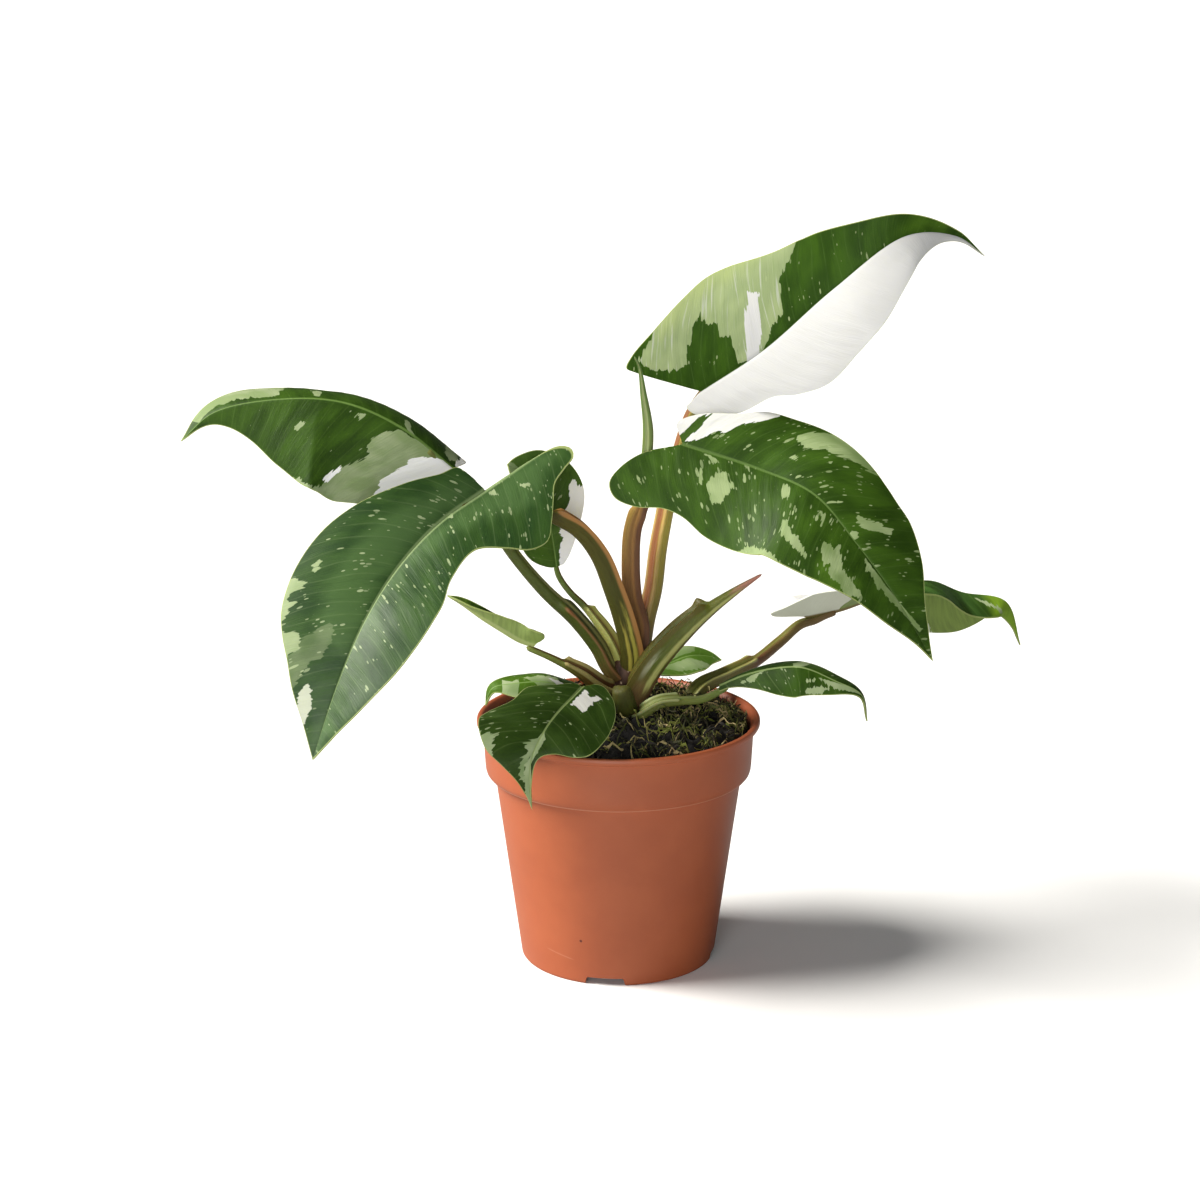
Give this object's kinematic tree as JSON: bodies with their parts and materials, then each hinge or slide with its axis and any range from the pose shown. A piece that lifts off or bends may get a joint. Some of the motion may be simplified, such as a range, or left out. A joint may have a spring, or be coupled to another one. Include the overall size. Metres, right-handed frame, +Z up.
{
  "type": "potted white princess philodendron",
  "caption": "Potted foliage plant with large pointed leaves, green marbled with white, on sheathed stalks in a round terracotta-coloured nursery pot filled with soil.",
  "frame": {"origin": "on the pot's axis, in the plane the pot stands on", "axes": "+Z up; the pictured front looks along -Y; +X to the viewer's right, towards the far right leaf"},
  "size_m": [0.3654, 0.1998, 0.3187],
  "materials": {
    "pot_plastic": "moulded terracotta-coloured plastic, softly shining",
    "potting_mix": "dark fibrous potting mix",
    "stem_bark": "brown skin of the stem",
    "green_leaf": "dark green waxy leaf, speckled",
    "pale_leaf": "green and white waxy leaf",
    "green_stalk": "green smooth stalk",
    "brown_stalk": "brown and olive smooth stalk"
  },
  "bodies": {
    "root": {"pot": "pot_plastic", "soil": "potting_mix", "stem": "stem_bark", "leaf_upper_right_blade": "pale_leaf", "leaf_right_blade": "green_leaf", "leaf_left_blade": "green_leaf", "leaf_front_left_blade": "green_leaf", "leaf_back_left_blade": "pale_leaf", "leaf_folded_left_blade": "pale_leaf", "leaf_front_rim_blade": "green_leaf", "leaf_left_rim_blade": "pale_leaf", "leaf_right_rim_blade": "pale_leaf", "leaf_far_right_blade": "pale_leaf", "leaf_small_back_blade": "pale_leaf", "bract": "green_stalk", "leaf_front_left_stalk": "brown_stalk", "sheath_stub": "green_stalk", "leaf_right_stalk": "brown_stalk", "leaf_upper_right_stalk": "brown_stalk", "leaf_left_stalk": "brown_stalk", "leaf_back_left_stalk": "green_stalk", "leaf_folded_left_stalk": "brown_stalk", "leaf_front_rim_stalk": "green_stalk", "leaf_right_rim_stalk": "green_stalk", "leaf_left_rim_stalk": "green_stalk", "leaf_far_right_stalk": "brown_stalk", "leaf_small_back_stalk": "green_stalk", "rolled_leaf": "green_stalk"}
  },
  "joints": []
}
